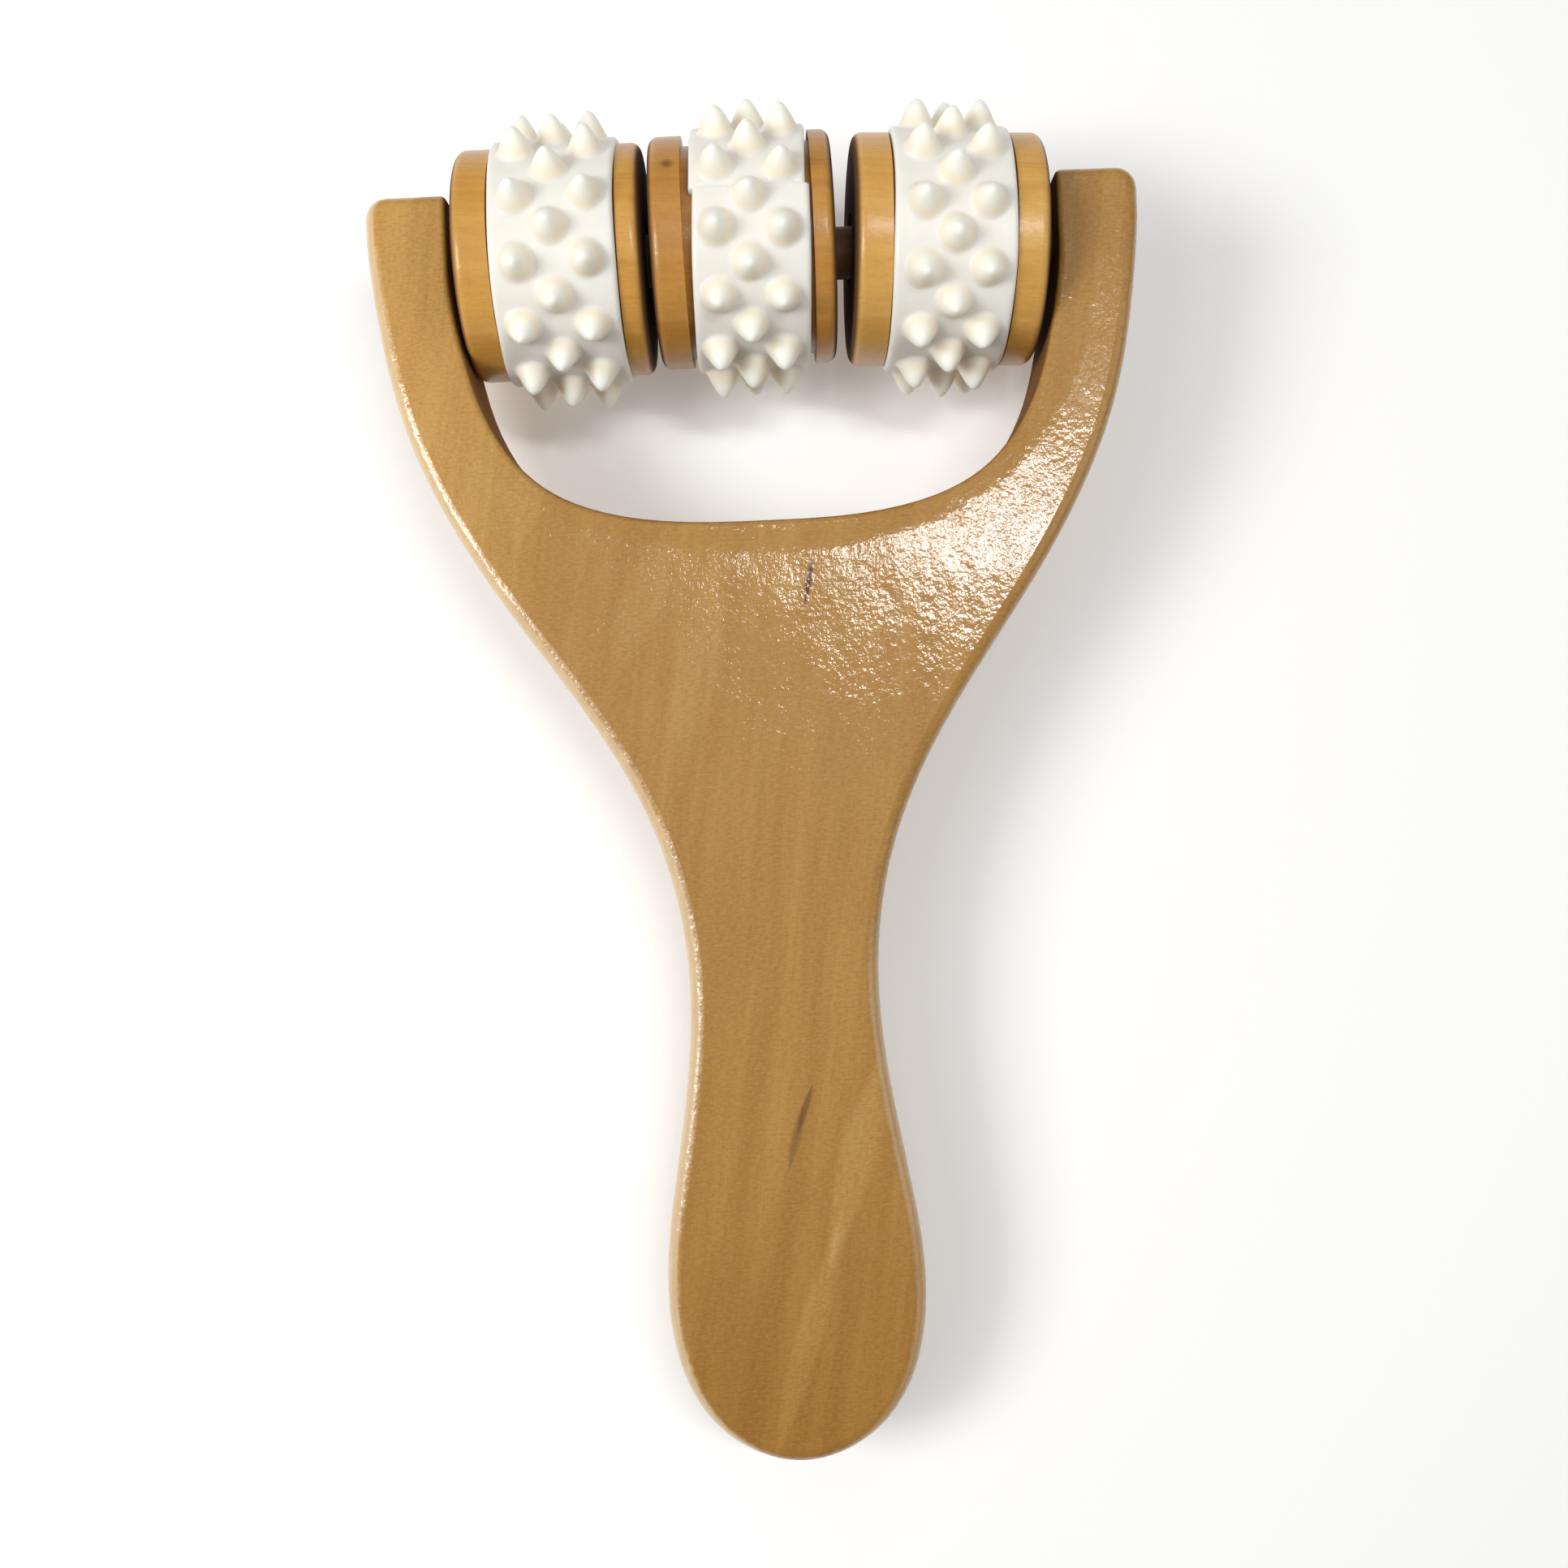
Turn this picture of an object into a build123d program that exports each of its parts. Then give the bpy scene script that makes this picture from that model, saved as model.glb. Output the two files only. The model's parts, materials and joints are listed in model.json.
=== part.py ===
"""Hand-held massage roller: a wooden fork handle with three spiked rollers on one dowel axle.

The tool is drawn in the frame of its board, whose origin is the centre of the axle: +X runs along
the axle, +Y towards the tips of the fork and +Z out of the front face. That frame is tipped and
raised, so that the tool lies on Z = 0 on its spikes and on the round end of its handle, with the
middle of its length and width over the origin.
"""

from math import asin, atan2, cos, hypot, radians, sin
import os

from build123d import *

# Driving dimensions, in millimetres

# The board
board_thickness = 18.0
edge_radius = 2.2                # round-over along both faces of the board
mouth_edge_radius = 0.9          # the mouth is cut last, and its edges are only eased
fork_half_width = 59.5           # from the centreline to the outside of a prong
fork_tip_above_axle = 9.0
mouth_half_width = 46.9          # from the centreline to the inside of a prong
mouth_depth = 43.2               # from the axle down to the bottom of the mouth
neck_half_width = 14.6
neck_below_axle = 114.0
grip_half_width = 19.9
grip_below_axle = 162.5          # from the axle down to the widest place of the grip
handle_end_below_axle = 188.1
tip_outer_radius = 3.4

# The axle and the turned wooden rollers
axle_diameter = 8.0
core_bore_diameter = 10.4        # loose, so that each roller lies a little askew on the axle
core_diameter = 35.0
core_edge_radius = 1.5
core_bore_chamfer = 0.6
groove_diameter = 32.0

# The moulded bands
band_diameter = 36.8
band_edge_radius = 0.6
groove_floor_gap = 0.02          # the band is snug on the floor of the groove
spike_tip_radius = 22.5          # from the axle to the top of a spike
spike_base_diameter = 5.2
spike_point_radius = 0.6
spike_bulge = 0.4                # how far the side of a spike bows outwards
spike_root_depth = 0.6           # how far a spike starts below the face of its band
spike_ring_count = 12            # rings of pairs; a single spike stands midway between two pairs

# Each roller is turned and fitted a little differently. It sits a little towards or away from the
# tips of the fork, leans in the plane of the board and tips its left end out of the front. The
# shifts are from the middle of its core, and its first single spike is at an angle from the front.
rollers = {
    "left": {
        "along_axle": -30.75, "towards_tips": 0.0, "lean": 0.3, "tip": 0.0,
        "core_width": 28.2, "groove_width": 19.2, "groove_shift": 1.0,
        "band_width": 18.7, "band_shift": 1.0, "pair_spacing": 10.5, "first_spike": 1.0,
    },
    "middle": {
        "along_axle": -1.45, "towards_tips": 0.85, "lean": 0.4, "tip": 0.0,
        "core_width": 27.8, "groove_width": 19.5, "groove_shift": 0.85,
        "band_width": 17.6, "band_shift": 1.65, "pair_spacing": 9.8, "first_spike": 20.0,
    },
    "right": {
        "along_axle": 29.75, "towards_tips": -0.4, "lean": -2.0, "tip": 1.4,
        "core_width": 29.0, "groove_width": 18.6, "groove_shift": 0.2,
        "band_width": 18.1, "band_shift": 0.2, "pair_spacing": 9.6, "first_spike": 10.5,
    },
}


# Where the tool lies: spikes touch the table under the axle, and the round-over of the handle's
# end touches it at the far end, so the board slopes down by the resting angle
axle_height = 22.6               # the tipped right roller reaches a little lower than the others
heel_reach = handle_end_below_axle - edge_radius
heel_depth = board_thickness / 2 - edge_radius
heel_drop = axle_height - edge_radius
resting_angle = asin(heel_drop / hypot(heel_reach, heel_depth)) - atan2(heel_depth, heel_reach)
front_normal = Vector(0, -sin(resting_angle), cos(resting_angle))
handle_reach = heel_reach * cos(resting_angle) + heel_depth * sin(resting_angle) + edge_radius
spike_reach = spike_tip_radius + rollers["middle"]["towards_tips"]
axle_centre = Vector(0, (handle_reach - spike_reach) / 2, axle_height)
board = Plane(origin=axle_centre, x_dir=(1, 0, 0), z_dir=front_normal)
across_board = Axis(axle_centre, front_normal)

os.makedirs("parts", exist_ok=True)


# The board: two prongs, the yoke between them, the neck and the paddle grip, cut in one piece
with BuildPart() as fork_handle:
    with BuildSketch(board.offset(-board_thickness / 2)) as outline:
        with BuildLine():
            handle_end = (0, -handle_end_below_axle)
            shoulder = (fork_half_width, 2.5)
            outside = Spline(
                handle_end,
                (12.9, -182.4),
                (grip_half_width, -grip_below_axle),
                (18.1, -144.7),
                (neck_half_width, -neck_below_axle),
                (18.5, -91.9),
                (28.0, -73.0),
                (43.4, -50.3),
                (53.1, -31.5),
                (57.9, -12.6),
                shoulder,
                tangents=((1, 0), (0, 1)),
                tangent_scalars=(1, 0.5),
            )
            Polyline(shoulder, (fork_half_width, fork_tip_above_axle), (0, fork_tip_above_axle))
            mirror(about=Plane.YZ)
        make_face()
        fillet(outline.vertices().group_by(Axis.Y)[-1], radius=tip_outer_radius)
    extrude(amount=board_thickness)
    broad_faces = fork_handle.faces().filter_by(across_board)
    fillet(broad_faces.edges(), radius=edge_radius)
    with BuildSketch(board.offset(-board_thickness / 2)):
        with BuildLine():
            mouth = Spline(
                (mouth_half_width, -3.0),
                (45.1, -15.8),
                (42.4, -25.0),
                (34.6, -36.0),
                (20.5, -41.9),
                (0, -mouth_depth),
                tangents=((0, -1), (-1, 0)),
                tangent_scalars=(0.6, 1),
            )
            over_tips = 2 * fork_tip_above_axle
            Polyline(mouth @ 0, (mouth_half_width, over_tips), (0, over_tips))
            mirror(about=Plane.YZ)
        make_face()
    extrude(amount=board_thickness, mode=Mode.SUBTRACT)
    cut_edges = fork_handle.edges(Select.LAST)
    mouth_rims = fork_handle.faces().filter_by(across_board).edges() & cut_edges
    fillet(mouth_rims, radius=mouth_edge_radius)
    with BuildSketch(Plane(origin=axle_centre, x_dir=(0, 1, 0), z_dir=(1, 0, 0))):
        Circle(axle_diameter / 2)
    extrude(amount=fork_half_width, both=True, mode=Mode.SUBTRACT)
fork_handle.part.label = "fork_handle"
export_step(fork_handle.part, "parts/fork_handle.step")


# The dowel that the rollers turn on, driven through both prongs and trimmed flush with them
with BuildPart() as axle_dowel:
    with BuildSketch(Plane(origin=axle_centre, x_dir=(0, 1, 0), z_dir=(1, 0, 0))):
        Circle(axle_diameter / 2)
    extrude(amount=fork_half_width, both=True)
axle_dowel.part.label = "axle_dowel"
export_step(axle_dowel.part, "parts/axle_dowel.step")


def roller_seat(sizes, shift=0):
    """A frame on one roller: x along its own axis, z towards the front of the board."""
    lean = radians(sizes["lean"])
    tip = radians(sizes["tip"])
    in_board = board.x_dir * cos(lean) + board.y_dir * sin(lean)
    axis_direction = in_board * cos(tip) - front_normal * sin(tip)
    middle = axle_centre + board.x_dir * sizes["along_axle"] + board.y_dir * sizes["towards_tips"]
    return Plane(
        origin=middle + axis_direction * shift,
        x_dir=axis_direction,
        z_dir=in_board * sin(tip) + front_normal * cos(tip),
    )


def make_core(seat, sizes):
    """The turned wooden roller, with a loose bore and a shallow groove for its band."""
    half_width = sizes["core_width"] / 2
    groove_left = sizes["groove_shift"] - sizes["groove_width"] / 2
    groove_right = sizes["groove_shift"] + sizes["groove_width"] / 2
    with BuildPart() as core:
        with BuildSketch(seat):
            with BuildLine():
                Polyline(
                    (-half_width, core_bore_diameter / 2),
                    (-half_width, core_diameter / 2),
                    (groove_left, core_diameter / 2),
                    (groove_left, groove_diameter / 2),
                    (groove_right, groove_diameter / 2),
                    (groove_right, core_diameter / 2),
                    (half_width, core_diameter / 2),
                    (half_width, core_bore_diameter / 2),
                    close=True,
                )
            make_face()
        revolve(axis=Axis(seat.origin, seat.x_dir))
        ends = core.faces().filter_by(GeomType.PLANE).sort_by(Axis.X)
        outer_rims = ends[0].edges().sort_by(SortBy.RADIUS)[-1:]
        outer_rims += ends[-1].edges().sort_by(SortBy.RADIUS)[-1:]
        fillet(outer_rims, radius=core_edge_radius)
        ends = core.faces().filter_by(GeomType.PLANE).sort_by(Axis.X)
        bore_mouths = ends[0].edges().sort_by(SortBy.RADIUS)[:1]
        bore_mouths += ends[-1].edges().sort_by(SortBy.RADIUS)[:1]
        chamfer(bore_mouths, length=core_bore_chamfer)
    return core


# One spike, standing on its root at the origin and pointing up
spike_length = spike_tip_radius - band_diameter / 2 + spike_root_depth
with BuildPart() as spike:
    with BuildSketch(Plane.XZ):
        with BuildLine():
            base_corner = (spike_base_diameter / 2, 0)
            point_centre = (0, spike_length - spike_point_radius)
            point = CenterArc(point_centre, spike_point_radius, start_angle=25, arc_size=65)
            side = SagittaArc(base_corner, point @ 0, -spike_bulge)
            Polyline(point @ 1, (0, 0), base_corner)
        make_face()
    revolve(axis=Axis.Z)


def spike_places(seat, sizes):
    """The frame of each spike's root: rings of pairs, and single spikes midway between them."""
    ring_step = radians(360 / spike_ring_count)
    root_radius = band_diameter / 2 - spike_root_depth
    places = []
    for ring in range(spike_ring_count):
        single_angle = radians(sizes["first_spike"]) + ring * ring_step
        pair_angle = single_angle + ring_step / 2
        spots = [
            (single_angle, 0),
            (pair_angle, -sizes["pair_spacing"] / 2),
            (pair_angle, sizes["pair_spacing"] / 2),
        ]
        for angle, across in spots:
            outwards = seat.z_dir * cos(angle) - seat.y_dir * sin(angle)
            root = seat.origin + seat.x_dir * across + outwards * root_radius
            places.append(Plane(origin=root, x_dir=seat.x_dir, z_dir=outwards))
    return places


def make_band(seat, sizes):
    """The moulded band in the groove, with its rings of cone spikes."""
    half_width = sizes["band_width"] / 2
    with BuildPart() as band:
        with BuildSketch(seat):
            floor_radius = groove_diameter / 2 + groove_floor_gap
            with BuildLine():
                Polyline(
                    (-half_width, floor_radius),
                    (-half_width, band_diameter / 2),
                    (half_width, band_diameter / 2),
                    (half_width, floor_radius),
                    close=True,
                )
            make_face()
        revolve(axis=Axis(seat.origin, seat.x_dir))
        sides = band.faces().filter_by(GeomType.PLANE).sort_by(Axis.X)
        outer_rims = sides[0].edges().sort_by(SortBy.RADIUS)[-1:]
        outer_rims += sides[-1].edges().sort_by(SortBy.RADIUS)[-1:]
        fillet(outer_rims, radius=band_edge_radius)
        with Locations(*spike_places(seat, sizes)):
            add(spike.part)
    return band


for name, sizes in rollers.items():
    core = make_core(roller_seat(sizes), sizes)
    core.part.label = f"roller_core_{name}"
    export_step(core.part, f"parts/roller_core_{name}.step")

    band = make_band(roller_seat(sizes, sizes["band_shift"]), sizes)
    band.part.label = f"spiked_band_{name}"
    export_step(band.part, f"parts/spiked_band_{name}.step")
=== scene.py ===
"""Looks of the hand-held wooden massage roller: varnished wood, moulded bands, light and camera."""

import json
from math import cos, pi, radians, sin

import bmesh
import bpy
import numpy as np
from mathutils import Matrix, Vector


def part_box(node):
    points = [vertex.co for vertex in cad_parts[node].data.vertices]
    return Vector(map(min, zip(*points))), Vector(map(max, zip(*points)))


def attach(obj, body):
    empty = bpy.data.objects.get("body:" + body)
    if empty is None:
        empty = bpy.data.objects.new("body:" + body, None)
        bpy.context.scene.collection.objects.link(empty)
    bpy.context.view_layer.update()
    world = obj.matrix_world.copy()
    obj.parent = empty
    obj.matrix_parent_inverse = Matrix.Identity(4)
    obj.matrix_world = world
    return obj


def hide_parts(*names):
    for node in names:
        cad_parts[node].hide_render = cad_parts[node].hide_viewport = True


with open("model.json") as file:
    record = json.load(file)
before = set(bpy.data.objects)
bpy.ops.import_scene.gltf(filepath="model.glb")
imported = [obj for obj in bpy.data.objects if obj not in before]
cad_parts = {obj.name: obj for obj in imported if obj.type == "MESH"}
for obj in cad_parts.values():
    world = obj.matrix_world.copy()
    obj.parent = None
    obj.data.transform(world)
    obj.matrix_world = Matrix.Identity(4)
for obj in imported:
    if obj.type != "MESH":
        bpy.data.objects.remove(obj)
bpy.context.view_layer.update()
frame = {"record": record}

MM = 0.001
ROLLERS = ("left", "middle", "right")
record = frame["record"]
joints = {joint["name"]: joint for joint in record["behaviour"]["joints"]}
mounts = {mount["name"]: mount for mount in record["mounts"]}


# ---------------------------------------------------------------- places taken from the CAD frame

def seat_matrix(origin, x_direction, z_direction):
    """The matrix of a frame with this origin, its +X as given and its +Z as near as can be."""
    x = Vector(x_direction).normalized()
    z = Vector(z_direction)
    z = (z - x * z.dot(x)).normalized()
    y = z.cross(x)
    seat = Matrix((x, y, z)).transposed().to_4x4()
    seat.translation = Vector(origin)
    return seat


# The board's frame: its origin at the middle of the dowel, +X along it and +Z out of the front
front_normal = Vector(mounts["grip_front_face"]["axis"]).normalized()
dowel_low, dowel_high = (Vector(corner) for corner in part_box("axle_dowel"))
board_seat = seat_matrix((dowel_low + dowel_high) / 2, (1, 0, 0), front_normal)

# Each roller's frame: its origin on its hinge, +X along the hinge and +Z out of the front
hinges = {name: joints[f"roller_{name}_spin"] for name in ROLLERS}
roller_seats = {
    name: seat_matrix(hinge["pos_m"], hinge["axis"], front_normal)
    for name, hinge in hinges.items()
}


# ---------------------------------------------------------------- small helpers for node trees

class Tree:
    """A material's node tree, with short ways to add maths, textures and ramps."""

    def __init__(self, name):
        self.material = bpy.data.materials.new(name)
        self.material.use_nodes = True
        self.tree = self.material.node_tree
        self.shader = self.tree.nodes["Principled BSDF"]

    def add(self, kind, values=None, **settings):
        """A new node with these settings, and values or links for its inputs."""
        node = self.tree.nodes.new(kind)
        for key, value in settings.items():
            setattr(node, key, value)
        for key, value in (values or {}).items():
            self.put(node.inputs[key], value)
        return node

    def put(self, socket, value):
        """Link an output to an input, or set the input's own value."""
        if isinstance(value, bpy.types.NodeSocket):
            self.tree.links.new(value, socket)
        else:
            socket.default_value = value

    def surface(self, values):
        """Values or links for the shader's inputs."""
        for key, value in values.items():
            self.put(self.shader.inputs[key], value)

    def math(self, operation, a, b=0.0, c=0.0, clamp=False):
        values = {0: a, 1: b, 2: c}
        return self.add("ShaderNodeMath", values, operation=operation, use_clamp=clamp).outputs[0]

    def times(self, a, b):
        return self.math("MULTIPLY", a, b)

    def mix(self, factor, a, b, blend="MIX"):
        """Colour a with colour b over it, by the factor."""
        node = self.add("ShaderNodeMix", data_type="RGBA", blend_type=blend)
        for index, value in ((0, factor), (6, a), (7, b)):
            self.put(node.inputs[index], value)
        return node.outputs[2]

    def ramp(self, factor, low, high):
        """0 at low, 1 at high, smooth between and level beyond."""
        node = self.add(
            "ShaderNodeMapRange",
            {"Value": factor, "From Min": low, "From Max": high},
            interpolation_type="SMOOTHSTEP",
        )
        return node.outputs["Result"]

    def noise(self, vector, detail=2.0, roughness=0.5):
        """Noise whose grains are about one unit of the vector long."""
        values = {"Vector": vector, "Scale": 1.0, "Detail": detail, "Roughness": roughness}
        return self.add("ShaderNodeTexNoise", values).outputs["Fac"]

    def place(self, seat):
        """Position in a seat's frame, in millimetres."""
        inverse = seat.inverted()
        values = {
            "Vector": self.add("ShaderNodeTexCoord").outputs["Object"],
            "Location": inverse.translation / MM,
            "Rotation": inverse.to_euler(),
            "Scale": (1 / MM, 1 / MM, 1 / MM),
        }
        return self.add("ShaderNodeMapping", values).outputs["Vector"]

    def stretch(self, vector, x, y, z, shift=0.0):
        """The position in units of one length for each direction, in millimetres, then shifted."""
        values = {
            "Vector": vector,
            "Scale": (1 / x, 1 / y, 1 / z),
            "Location": (shift, shift, shift),
        }
        return self.add("ShaderNodeMapping", values).outputs["Vector"]

    def split(self, vector):
        return self.add("ShaderNodeSeparateXYZ", {0: vector}).outputs

    def join(self, x, y, z):
        return self.add("ShaderNodeCombineXYZ", {0: x, 1: y, 2: z}).outputs[0]

    def bump(self, height, distance):
        """A normal bent by a height, whose unit is the distance in metres."""
        return self.add("ShaderNodeBump", {"Height": height, "Distance": distance}).outputs[0]


def linear(red, green, blue):
    """An sRGB colour of 0 to 255 as opaque linear light."""
    channels = (channel / 255 for channel in (red, green, blue))
    light = (c / 12.92 if c <= 0.04045 else ((c + 0.055) / 1.055) ** 2.4 for c in channels)
    return (*light, 1)


# ---------------------------------------------------------------- wood

# Light, dark and deep colour of each wood
HANDLE_TINTS = ((184, 140, 70), (166, 119, 48), (134, 85, 26))
ROLLER_TINTS = {
    "left": ((217, 164, 80), (198, 142, 58), (154, 98, 32)),
    "middle": ((200, 146, 66), (180, 123, 50), (134, 84, 28)),
    "right": ((222, 174, 92), (206, 152, 72), (164, 108, 40)),
}
# The dowel's tints are darkened as painted shade
DOWEL_SHADED_TINTS = ((150, 110, 68), (130, 92, 52), (100, 68, 36))

# How far the grain slants, in mm across for each mm along, and wanders, in mm
HANDLE_SLANT = 0.16
ROLLER_SLANT = -0.06
WANDER = 6.0

# Linear factors on the colour of the board: painted light that brightens its left prong, painted
# shade that deepens the end of its grip, its pale streaks, and painted shade on the bare wall of
# its mouth
PAINTED_PRONG_LIGHT = (1.32, 1.36, 1.45, 1)
PAINTED_GRIP_SHADE = (0.84, 0.75, 0.50, 1)
LIGHT_STREAK = (1.24, 1.38, 2.0, 1)
MOUTH_WALL_SHADE = (0.36, 0.26, 0.14, 1)

# Where each of these starts and is full: across and along the board in mm, the share of the
# normal that points out of the front or back, and the share that points to a side
PRONG_LIGHT_X = (-26, -58)
GRIP_SHADE_Y = (-125, -190)
EDGE_LIGHT_LEFT_X = (8, -8)
EDGE_LIGHT_GRIP_Y = (-95, -125)
FACE_NORMAL = (0.2, 0.85)
ROUNDED_NORMAL = (0.16, 0.42)

# Colours laid over the wood: dark streaks, painted light on the rounded edges, end grain darkened
# partly as painted shade, and a knot
DARK_STREAK = (88, 46, 4)
PAINTED_EDGE_LIGHT = (232, 208, 168)
END_GRAIN_AND_SHADE = (80, 47, 20)
KNOT = (110, 58, 22)

# Streaks in the board: start and end on the front face and half width, in millimetres, strength
DARK_STREAKS = [
    ((7.2, -49.0), (5.4, -57.5), 0.65, 1.0),
    ((6.9, -49.5), (6.3, -54.0), 0.9, 0.35),
    ((4.0, -129.0), (0.6, -138.5), 0.8, 0.6),
    ((2.4, -132.0), (-0.8, -144.0), 1.1, 0.4),
]
LIGHT_STREAKS = [
    ((15.0, -124.0), (4.5, -160.0), 3.6, 0.7),
    ((8.0, -148.0), (-5.0, -189.0), 2.8, 0.7),
    ((-15.0, -43.0), (-24.5, -68.0), 4.2, 0.35),
    ((-33.0, -24.0), (-38.5, -48.0), 4.0, 0.4),
    ((-7.0, -44.0), (-15.0, -84.0), 4.0, 0.3),
]

# The mouth of the fork is the lower half of a squarish ellipse below the dowel, open at its top.
# Its reach is 1 along that edge.
MOUTH_HALF_WIDTH = 47.0
MOUTH_DEPTH = 43.3
MOUTH_POWER = 2.4           # 2 would be a plain ellipse
MOUTH_WALL = 1.2            # a reach that takes in the whole wall of the mouth
SANDED_REACH = 1.34         # the reach from which the face is sanded down towards the mouth
SANDED_DEPTH = 0.42         # how far down it is at the edge, in mm

CORE_HALF_WIDTHS = {"left": 14.1, "middle": 13.9, "right": 14.5}
END_GRAIN_FROM, END_GRAIN_FULL = 0.9, 0.1       # mm in from the end of a roller
PIN_KNOT = (-10.8, 8.6, 15.2)                   # on the left flange of the middle roller
PIN_KNOT_RADII = (0.5, 1.6)

# Roughness of bare wood, and heights in the varnish as shares of its orange peel: of the waves
# everywhere, of the more there is in rough patches, of the broad swell and of the open grain
BARE_ROUGHNESS = 0.95
WAVE_HEIGHT = 0.75
PATCH_HEIGHT = 0.6
SWELL_HEIGHT = 2.2
FIBRE_HEIGHT = 0.2


def wood_layers(m, along, across, depth, fine=1.0):
    """Streaks, fibres and blotches of straight-grained wood; along, across and depth are in mm."""
    place = m.join(across, along, depth)
    wander = m.noise(m.stretch(place, 22, 70, 22), detail=1.0)
    bent = m.math("MULTIPLY_ADD", wander, WANDER, across)
    grain = m.join(bent, along, depth)
    return {
        "streak": m.noise(m.stretch(grain, 4.0 * fine, 80, 9), detail=3.0, roughness=0.6),
        "line": m.noise(m.stretch(grain, 0.9 * fine, 26, 2.5, 7.0), detail=3.0, roughness=0.6),
        "fibre": m.noise(m.stretch(grain, 0.24, 2.6, 0.5, 3.0), roughness=0.7),
        "blotch": m.noise(m.stretch(place, 12, 20, 12, 5.0), detail=3.0),
        "speckle": m.noise(m.stretch(place, 0.9, 0.38, 0.9, 9.0), detail=3.0, roughness=0.6),
    }


def wood_colour(m, layers, tints, speckle=0.1):
    """Colour of the wood from its layers and its light, dark and deep tints."""
    light, dark, deep = (linear(*tint) for tint in tints)
    colour = light
    # Layer, where its ramp starts and ends, strength, and the colour that it brings
    for layer, low, high, strength, tint in (
        ("streak", 0.25, 0.75, 1.0, dark),
        ("blotch", 0.38, 0.72, 0.6, dark),
        ("line", 0.50, 0.85, 0.22, deep),
        ("fibre", 0.45, 0.80, 0.30, deep),
        ("speckle", 0.45, 0.75, speckle, deep),
        ("speckle", 0.55, 0.25, 2 * speckle, light),
    ):
        colour = m.mix(m.times(m.ramp(layers[layer], low, high), strength), colour, tint)
    return colour


def varnish(m, place, layers, bare, roughness, coat, coat_roughness, peel, relief=0.0):
    """Satin varnish on the shader, with none where bare is 1.

    The clear coat has orange peel over open grain; peel and relief are heights in mm.
    """
    waves = m.noise(m.stretch(place, 0.95, 1.15, 0.95, 11.0), roughness=0.55)
    swell = m.noise(m.stretch(place, 6, 9, 6, 2.0), detail=1.0)
    rough_patch = m.ramp(m.noise(m.stretch(place, 9, 14, 9, 4.0)), 0.35, 0.65)
    wave_height = m.math("MULTIPLY_ADD", rough_patch, PATCH_HEIGHT * peel, WAVE_HEIGHT * peel)
    skin = m.math("ADD", m.times(waves, wave_height), m.times(swell, SWELL_HEIGHT * peel))
    open_grain = m.times(layers["fibre"], FIBRE_HEIGHT * peel)
    normal = m.bump(m.math("ADD", m.math("ADD", skin, open_grain), relief), MM)
    m.surface({
        "Roughness": m.math("MULTIPLY_ADD", bare, BARE_ROUGHNESS - roughness, roughness),
        "IOR": 1.4,
        "Normal": normal,
        "Coat Weight": m.math("MULTIPLY_ADD", bare, -coat, coat),
        "Coat Roughness": coat_roughness,
        "Coat IOR": 1.5,
        "Coat Normal": normal,
    })


def streak_mask(m, x, y, start, end, half_width):
    """1 on a thin tapering streak between two points of the front face, 0 away from it."""
    (x0, y0), (x1, y1) = start, end
    share = m.math("DIVIDE", m.math("SUBTRACT", y, y0), y1 - y0)
    centre = m.math("MULTIPLY_ADD", share, x1 - x0, x0)
    aside = m.math("ABSOLUTE", m.math("SUBTRACT", x, centre))
    rest = m.math("SUBTRACT", 1.0, share)
    taper = m.math("MULTIPLY", m.times(share, rest), 4.0, clamp=True)
    width = m.math("MULTIPLY_ADD", taper, half_width, 0.001)
    inside = m.math("SUBTRACT", 1.0, m.math("DIVIDE", aside, width), clamp=True)
    return m.times(inside, taper)


def mouth_reach(m, x, y):
    """Below 1 inside the mouth of the fork, 1 along its edge and more outside it."""
    across = m.math("DIVIDE", m.math("ABSOLUTE", x), MOUTH_HALF_WIDTH)
    down = m.math("MAXIMUM", m.math("DIVIDE", y, -MOUTH_DEPTH), 0.0)
    return m.math("ADD", m.math("POWER", across, MOUTH_POWER), m.math("POWER", down, MOUTH_POWER))


def edge_masks(m, x, y, reach):
    """Masks of the sawn wall of the mouth, darkened as painted shade, and of the rounded edges,
    lightened as painted light.

    The painted light runs all along the left side, and less on the right side of the grip.
    """
    normal = m.add("ShaderNodeNewGeometry").outputs["Normal"]
    facing = m.add("ShaderNodeVectorMath", {0: normal, 1: front_normal}, operation="DOT_PRODUCT")
    face = m.ramp(m.math("ABSOLUTE", facing.outputs["Value"]), *FACE_NORMAL)
    wall = m.math("SUBTRACT", 1.0, face)
    mouth = m.math("LESS_THAN", reach, MOUTH_WALL)
    rounded = m.ramp(m.math("ABSOLUTE", m.split(normal)[0]), *ROUNDED_NORMAL)
    grip = m.times(m.ramp(y, *EDGE_LIGHT_GRIP_Y), 0.45)
    side = m.math("MAXIMUM", m.ramp(x, *EDGE_LIGHT_LEFT_X), grip)
    edge = m.times(m.times(rounded, side), m.math("SUBTRACT", 1.0, mouth))
    return m.times(wall, mouth), edge


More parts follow.
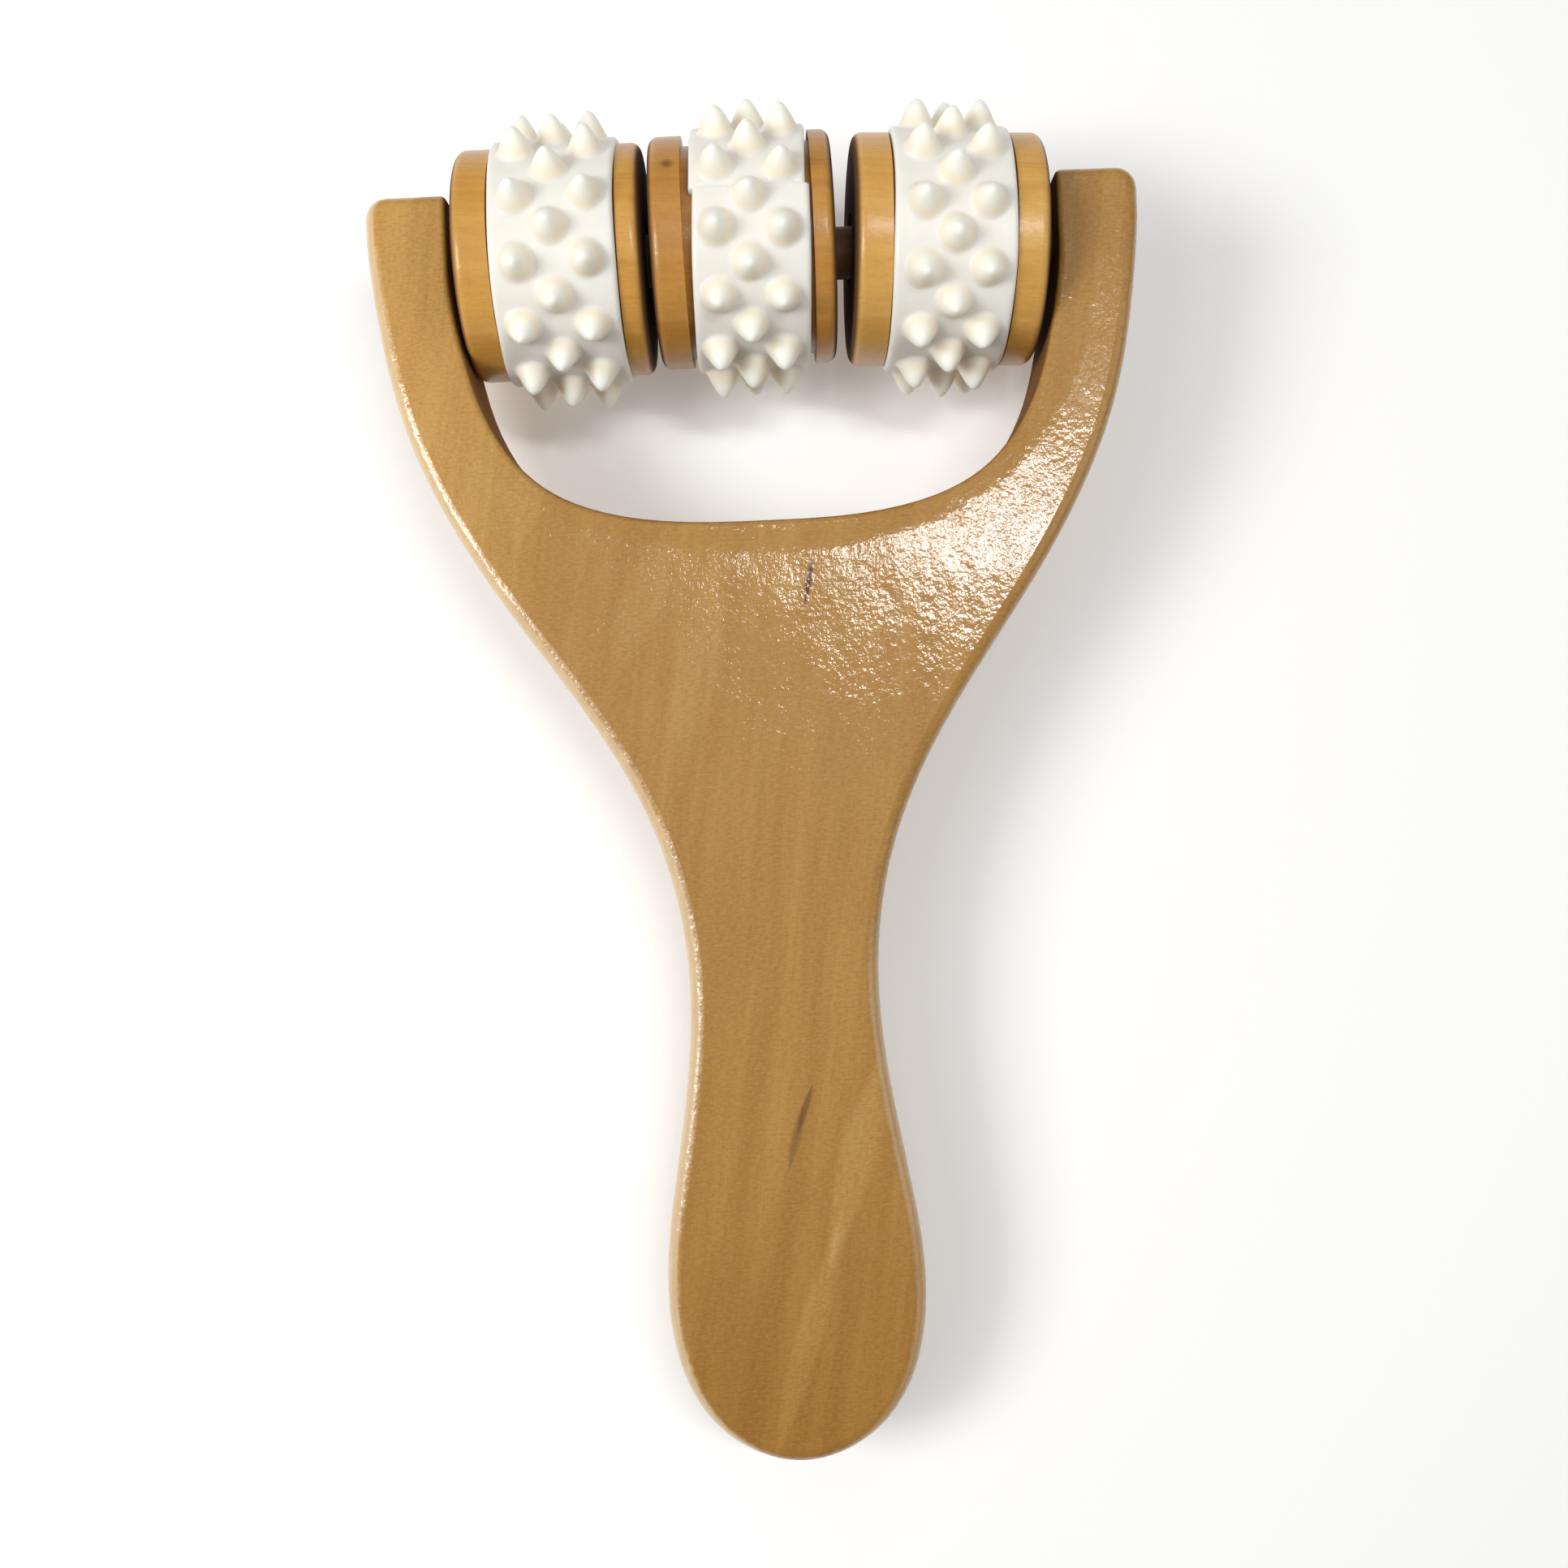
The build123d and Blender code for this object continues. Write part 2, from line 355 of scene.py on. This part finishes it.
def handle_wood():
    """Golden varnished wood of the board, with its grain slanting a little across the handle."""
    m = Tree("handle_wood")
    place = m.place(board_seat)
    x, y, z = m.split(place)
    layers = wood_layers(m, y, m.math("MULTIPLY_ADD", y, -HANDLE_SLANT, x), z)
    colour = wood_colour(m, layers, HANDLE_TINTS, speckle=0.3)
    # Painted light brightening the left prong
    colour = m.mix(m.ramp(x, *PRONG_LIGHT_X), colour, PAINTED_PRONG_LIGHT, blend="MULTIPLY")
    # Painted shade darkening the grip towards its end, where the light falls off
    colour = m.mix(m.ramp(y, *GRIP_SHADE_Y), colour, PAINTED_GRIP_SHADE, blend="MULTIPLY")
    for *streak, strength in LIGHT_STREAKS:
        mask = m.ramp(streak_mask(m, x, y, *streak), 0.0, 0.5)
        colour = m.mix(m.times(mask, strength), colour, LIGHT_STREAK, blend="MULTIPLY")
    for *streak, strength in DARK_STREAKS:
        mask = m.ramp(streak_mask(m, x, y, *streak), 0.0, 0.7)
        colour = m.mix(m.times(mask, strength), colour, linear(*DARK_STREAK))
    reach = mouth_reach(m, x, y)
    wall, edge = edge_masks(m, x, y, reach)
    edge_light_share = m.math("MULTIPLY_ADD", layers["line"], 0.4, 0.4)
    # Painted light on the rounded edges, strongest along the left side and broken up by the grain
    # lines
    colour = m.mix(m.times(edge, edge_light_share), colour, linear(*PAINTED_EDGE_LIGHT))
    # Painted shade darkening the bare wall of the mouth
    colour = m.mix(m.times(wall, 0.85), colour, MOUTH_WALL_SHADE, blend="MULTIPLY")
    m.surface({"Base Color": colour})
    relief = m.times(m.ramp(reach, SANDED_REACH, 1.0), -SANDED_DEPTH)
    varnish(
        m, place, layers, bare=wall, roughness=0.5,
        coat=0.95, coat_roughness=0.10, peel=0.072, relief=relief,
    )
    return m.material


def roller_wood(name):
    """Warmer turned wood of a roller, with its grain along the axle and bare end grain, darkened
    partly as painted shade.
    """
    m = Tree(f"roller_wood_{name}")
    place = m.place(roller_seats[name])
    x, y, z = m.split(place)
    layers = wood_layers(m, x, m.math("MULTIPLY_ADD", x, -ROLLER_SLANT, y), z, fine=0.6)
    tints = ROLLER_TINTS[name]
    colour = wood_colour(m, layers, tints, speckle=0.06)
    turned = m.ramp(m.noise(m.stretch(place, 30, 3.0, 3.0, 13.0)), 0.42, 0.68)
    colour = m.mix(m.times(turned, 0.35), colour, linear(*tints[1]))
    end = CORE_HALF_WIDTHS[name]
    end_face = m.ramp(m.math("ABSOLUTE", x), end - END_GRAIN_FROM, end - END_GRAIN_FULL)
    # End grain darkened, partly its own deeper tone and partly painted shade
    colour = m.mix(m.times(end_face, 0.95), colour, linear(*END_GRAIN_AND_SHADE))
    if name == "middle":
        offset = m.add("ShaderNodeVectorMath", {0: place, 1: PIN_KNOT}, operation="DISTANCE")
        distance = m.math("MULTIPLY_ADD", layers["fibre"], 0.5, offset.outputs["Value"])
        knot = m.math("SUBTRACT", 1.0, m.ramp(distance, *PIN_KNOT_RADII))
        colour = m.mix(m.times(knot, 0.75), colour, linear(*KNOT))
    m.surface({"Base Color": colour})
    varnish(
        m, place, layers, bare=end_face, roughness=0.45,
        coat=0.55, coat_roughness=0.25, peel=0.05,
    )
    return m.material


def dowel_wood():
    """Plain unvarnished birch dowel, darkened as painted shade."""
    m = Tree("dowel_wood")
    x, y, z = m.split(m.place(board_seat))
    layers = wood_layers(m, x, y, z, fine=0.5)
    m.surface({
        "Base Color": wood_colour(m, layers, DOWEL_SHADED_TINTS),
        "Roughness": 0.6,
        "Normal": m.bump(layers["fibre"], 0.02 * MM),
    })
    return m.material


# ---------------------------------------------------------------- rubber

# The white of a band, the tone of its mottles, the painted shade about the foot of a spike and the
# painted highlight on its point, and the radii on the roller, in mm, between which the last two
# come in
BAND_WHITE = (244, 241, 234)
BAND_MOTTLE = (233, 226, 214)
SPIKE_FOOT_SHADE = (244, 235, 217)
SPIKE_POINT_LIGHT = (252, 248, 236)
FOOT_SHADE_RADII = (18.5, 19.0)
POINT_LIGHT_RADII = (19.2, 21.4)


def band_rubber(name):
    """Warm white moulded rubber, with painted shade in beige about the foot of each spike and a
    painted highlight in cream at its point.
    """
    m = Tree(f"band_rubber_{name}")
    place = m.place(roller_seats[name])
    _, y, z = m.split(place)
    radius = m.math("SQRT", m.math("ADD", m.times(y, y), m.times(z, z)))
    mottle = m.noise(m.stretch(place, 3.0, 3.0, 3.0), detail=3.0)
    colour = m.mix(m.times(mottle, 0.5), linear(*BAND_WHITE), linear(*BAND_MOTTLE))
    # Painted shade about the foot of each spike
    colour = m.mix(m.ramp(radius, *FOOT_SHADE_RADII), colour, linear(*SPIKE_FOOT_SHADE))
    # Painted highlight lightening the upper part of each spike
    colour = m.mix(m.ramp(radius, *POINT_LIGHT_RADII), colour, linear(*SPIKE_POINT_LIGHT))
    skin = m.noise(m.stretch(place, 0.35, 0.35, 0.35), detail=3.0)
    m.surface({
        "Base Color": colour,
        "Roughness": 0.45,
        "Normal": m.bump(skin, 0.012 * MM),
        "Subsurface Weight": 0.75,
        "Subsurface Radius": (1.0, 0.75, 0.5),
        "Subsurface Scale": 2.0 * MM,
    })
    return m.material


# ---------------------------------------------------------------- the moulded bands

# Lengths are in mm
BAND_RADIUS = 18.4
BAND_FLOOR = 16.05          # radius of the inside, just clear of the floor of the groove
EDGE_ROUND = 0.7
SPIKE_HEIGHT = 4.05
SPIKE_HEIGHT_FACTORS = (0.95, 1.02)
SPIKE_SLOPE = 2.6           # fall of a spike's side for each mm away from its point
SPIKE_ROUNDNESS = 4.6       # a larger one makes the point blunter
SPIKE_FLARE = 0.8           # how near the skin its side spreads into a soft foot
SPIKE_REACH = 4.0           # all of a spike is this near its axis, along the skin
SPIKE_HALF_ANGLE = 0.4      # and within this turn of it, in radians
SPIKE_LEAN = 0.08           # most that its point leans either way
SPIKE_NUDGE = 0.12          # most that its axis is out of place either way
JOINT_SPIKE = 0.72          # height factor of a spike on the butt joint
JOINT_SPIKE_ANGLE = 4       # how near the joint such a spike is, in degrees
SLIT_DEPTH = 0.3
SLIT_HALF_WIDTH = 0.16
RINGS = 12                  # single spikes around a band, with a pair after each
AROUND = 600                # points of the mesh around a band
ACROSS = 84                 # and across its flat
RIM_STEPS = 4               # and down each of its rounded rims

# Swells around a band: waves in a turn, phase in seeds, and height in mm or share of the width
RADIUS_SWELLS = ((3, 1, 0.036), (7, 2, 0.03))
WIDTH_SWELLS = ((2, 1, 0.012), (5, 0, 0.006))

# Each band: its width, its shift along the roller, the spacing of its pairs of spikes, the angle
# of its first single spike, the angle of its butt joint, the jog there, how far it lies askew
# in its groove, and its seed
BANDS = {
    "left": (18.9, 1.0, 10.5, 1.0, 187.5, 0.3, 0.0, 11),
    "middle": (17.6, 1.65, 9.8, 23.0, -12.5, 0.6, 1.0, 12),
    "right": (18.1, 0.2, 9.6, 10.5, 168.0, 0.3, 0.0, 13),
}


def wrapped(angle):
    """An angle brought between minus and plus half a turn."""
    return (angle + pi) % (2 * pi) - pi


def swells(angle, seed, table):
    """The sum of a table of swells at each angle."""
    return sum(size * np.sin(waves * angle + phase * seed) for waves, phase, size in table)


def smooth_max_zero(value, softness):
    """max(value, 0) with a small round where the two meet."""
    blended = (value + softness) ** 2 / (4 * softness)
    return np.where(value < -softness, 0.0, np.where(value > softness, value, blended))


def band_spikes(pair_spacing, first_single, joint_angle, askew, rng):
    """Angle, place across, height and lean of every spike of a band."""
    step = 2 * pi / RINGS
    for ring in range(RINGS):
        single = radians(first_single) + ring * step
        paired = single + step / 2
        spots = ((single, 0.0), (paired, -pair_spacing / 2), (paired, pair_spacing / 2))
        for angle, across in spots:
            on_joint = abs(wrapped(angle - radians(joint_angle))) < radians(JOINT_SPIKE_ANGLE)
            height = rng.uniform(*SPIKE_HEIGHT_FACTORS) * (JOINT_SPIKE if on_joint else 1.0)
            lean = rng.uniform(-SPIKE_LEAN, SPIKE_LEAN, 2)
            nudge = rng.uniform(-SPIKE_NUDGE, SPIKE_NUDGE, 2)
            twist = askew * across / BAND_RADIUS**2
            slide = askew * (1 + sin(angle)) / 2
            place = across - slide + nudge[1]
            yield angle + twist + nudge[0] / BAND_RADIUS, place, SPIKE_HEIGHT * height, lean


def band_section(half_width):
    """Places across and radii of one closed section: outside, right rim, inside, left rim."""
    flat_half = half_width - EDGE_ROUND
    turn = np.linspace(0, pi / 2, RIM_STEPS + 1)[1:]
    rim_x = flat_half + EDGE_ROUND * np.sin(turn)
    rim_radius = BAND_RADIUS - EDGE_ROUND + EDGE_ROUND * np.cos(turn)
    flat = np.linspace(-flat_half, flat_half, ACROSS)
    inside_x, inside_radius = [half_width, -half_width], [BAND_FLOOR, BAND_FLOOR]
    return (
        np.concatenate([flat, rim_x, inside_x, -rim_x[::-1]]),
        np.concatenate([np.full(ACROSS, BAND_RADIUS), rim_radius, inside_radius, rim_radius[::-1]]),
    )


def make_band(name):
    """A moulded band as one closed skin: spiked outside, rounded rims, plain inside."""
    width, shift, pair_spacing, first_single, joint_angle, jog, askew, seed = BANDS[name]
    rng = np.random.default_rng(seed)
    section_x, section_radius = band_section(width / 2)
    around = np.arange(AROUND) * 2 * pi / AROUND
    angle, x = np.meshgrid(around, section_x, indexing="ij")
    outer = section_radius > BAND_FLOOR
    radius = section_radius + np.where(outer, swells(angle, seed, RADIUS_SWELLS), 0)
    x *= 1 + swells(angle, seed, WIDTH_SWELLS)
    # The band is wound a little askew, so its two ends meet in a jog
    from_joint = (angle - radians(joint_angle)) % (2 * pi) / (2 * pi)
    x += jog * (0.5 - from_joint) - askew * (1 + np.sin(angle)) / 2
    outward = np.stack([np.zeros_like(angle), -np.sin(angle), np.cos(angle)], axis=-1)
    points = outward * radius[..., None]
    points[..., 0] = x
    covered = np.zeros_like(angle)
    spikes = band_spikes(pair_spacing, first_single, joint_angle, askew, rng)
    for spike_angle, spike_x, height, lean in spikes:
        delta = wrapped(angle - spike_angle)
        distance = np.hypot(BAND_RADIUS * np.sin(delta), x - spike_x)
        near = (distance < SPIKE_REACH) & (np.abs(delta) < SPIKE_HALF_ANGLE) & outer
        fall = np.sqrt(SPIKE_ROUNDNESS**2 + (SPIKE_SLOPE * distance) ** 2) - SPIKE_ROUNDNESS
        rise = np.where(near, smooth_max_zero(height - fall, SPIKE_FLARE), 0.0)
        axis = np.array([0.0, -sin(spike_angle), cos(spike_angle)])
        tangent = np.array([0.0, -cos(spike_angle), -sin(spike_angle)])
        sideways = np.array([1.0, 0.0, 0.0]) * lean[0] + tangent * lean[1]
        points += rise[..., None] * (axis + sideways / height)
        covered = np.maximum(covered, rise)
    # A fine slit where the ends meet, except under a spike
    away = np.minimum(from_joint, 1 - from_joint) * 2 * pi * BAND_RADIUS
    slit = SLIT_DEPTH * np.exp(-((away / SLIT_HALF_WIDTH) ** 2)) * np.clip(1 - 3 * covered, 0, 1)
    points -= outward * np.where(outer, slit, 0)[..., None]
    points[..., 0] += shift
    band_object(name, points)


def band_object(name, points):
    """A ring of closed sections as a smooth mesh object that rides on its roller."""
    around, loop = points.shape[:2]
    here = np.arange(around * loop).reshape(around, loop)
    after = np.roll(here, -1, axis=0)
    corners = [here, np.roll(here, -1, axis=1), np.roll(after, -1, axis=1), after]
    quads = np.stack(corners, axis=-1).reshape(-1, 4)
    seat = np.array(roller_seats[name])
    world = points.reshape(-1, 3) * MM @ seat[:3, :3].T + seat[:3, 3]
    mesh = bpy.data.meshes.new(f"band_{name}")
    mesh.from_pydata(world.tolist(), [], quads.tolist())
    mesh.update()
    fix = bmesh.new()
    fix.from_mesh(mesh)
    bmesh.ops.recalc_face_normals(fix, faces=fix.faces)
    fix.to_mesh(mesh)
    fix.free()
    mesh.shade_smooth()
    mesh.materials.append(band_rubber(name))
    band = bpy.data.objects.new(f"band_{name}", mesh)
    bpy.context.collection.objects.link(band)
    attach(band, f"roller_{name}")
    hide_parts(f"spiked_band_{name}")


# ---------------------------------------------------------------- every piece of the object

def finish_node(node, material):
    """Give a CAD node its material."""
    for slot in bpy.data.objects[node].material_slots:
        slot.material = material


finish_node("fork_handle", handle_wood())
finish_node("axle_dowel", dowel_wood())
for roller in ROLLERS:
    finish_node(f"roller_core_{roller}", roller_wood(roller))
    make_band(roller)


# ---------------------------------------------------------------- floor, light and camera

FLOOR_HALF_SIZE = 3.0       # metres
WORLD_COLOUR = (1.0, 0.99, 0.97, 1)
WORLD_STRENGTH = 0.24

# Place of the camera in the board's frame, in mm, and how far it is rolled, in degrees
CAMERA_PLACE = (1.26, -83.8, 249.0)
CAMERA_ROLL = -2.45

# Each light: its place and what it is aimed at in the board's frame, its width and height, in mm,
# its power in watts, and its turn about its own beam in degrees
LIGHTS = {
    "key": ((-520, -60, 520), (0, -60, 0), 260, 260, 2.7, 0),
    "front": ((-600, -60, 900), (0, -60, 0), 480, 480, 1.9, 0),
    "top": ((0, 620, 800), (0, -20, 0), 480, 480, 0.3, 0),
    "side": ((640, -60, 420), (0, -60, 0), 400, 400, 0.4, 0),
    "gloss": ((206, 64, 787), (20, -50, 0), 60, 330, 1.85, -29),
    "gloss_high": ((222, 150, 787), (50, -15, 0), 40, 120, 0.08, -10),
}


def make_floor():
    """A plain pale floor under the object."""
    size = FLOOR_HALF_SIZE
    mesh = bpy.data.meshes.new("floor")
    corners = [(-size, -size, 0), (size, -size, 0), (size, size, 0), (-size, size, 0)]
    mesh.from_pydata(corners, [], [(0, 1, 2, 3)])
    m = Tree("floor")
    m.surface({
        "Base Color": (0.88, 0.88, 0.88, 1),
        "Roughness": 0.9,
        "Emission Color": (1, 1, 1, 1),
        "Emission Strength": 0.15,
    })
    mesh.materials.append(m.material)
    floor = bpy.data.objects.new("floor", mesh)
    bpy.context.collection.objects.link(floor)


def area_light(name, place, target, width, height, power, turn):
    """A soft rectangular light."""
    light = bpy.data.lights.new(name, "AREA")
    light.shape = "RECTANGLE"
    light.size = width * MM
    light.size_y = height * MM
    light.energy = power
    lamp = bpy.data.objects.new(name, light)
    start, end = (board_seat @ (Vector(point) * MM) for point in (place, target))
    aim = (end - start).to_track_quat("-Z", "Y").to_matrix().to_4x4()
    lamp.matrix_world = Matrix.Translation(start) @ aim @ Matrix.Rotation(radians(turn), 4, "Z")
    bpy.context.collection.objects.link(lamp)


def make_lights():
    """Soft light, most of it from the left, and two narrow windows that gloss the right side."""
    for name, settings in LIGHTS.items():
        area_light(name, *settings)
    world = bpy.data.worlds.new("studio")
    world.use_nodes = True
    background = world.node_tree.nodes["Background"]
    background.inputs["Color"].default_value = WORLD_COLOUR
    background.inputs["Strength"].default_value = WORLD_STRENGTH
    bpy.context.scene.world = world


def make_camera():
    """A 36 mm lens square on to the front of the board, rolled slightly."""
    camera = bpy.data.cameras.new("camera")
    camera.sensor_width = 36
    camera.lens = 36
    camera.clip_start = 0.01
    eye = bpy.data.objects.new("camera", camera)
    place = Matrix.Translation(Vector(CAMERA_PLACE) * MM)
    eye.matrix_world = board_seat @ place @ Matrix.Rotation(radians(CAMERA_ROLL), 4, "Z")
    bpy.context.collection.objects.link(eye)
    bpy.context.scene.camera = eye


make_floor()
make_lights()
make_camera()
bpy.context.scene.view_settings.view_transform = "Standard"
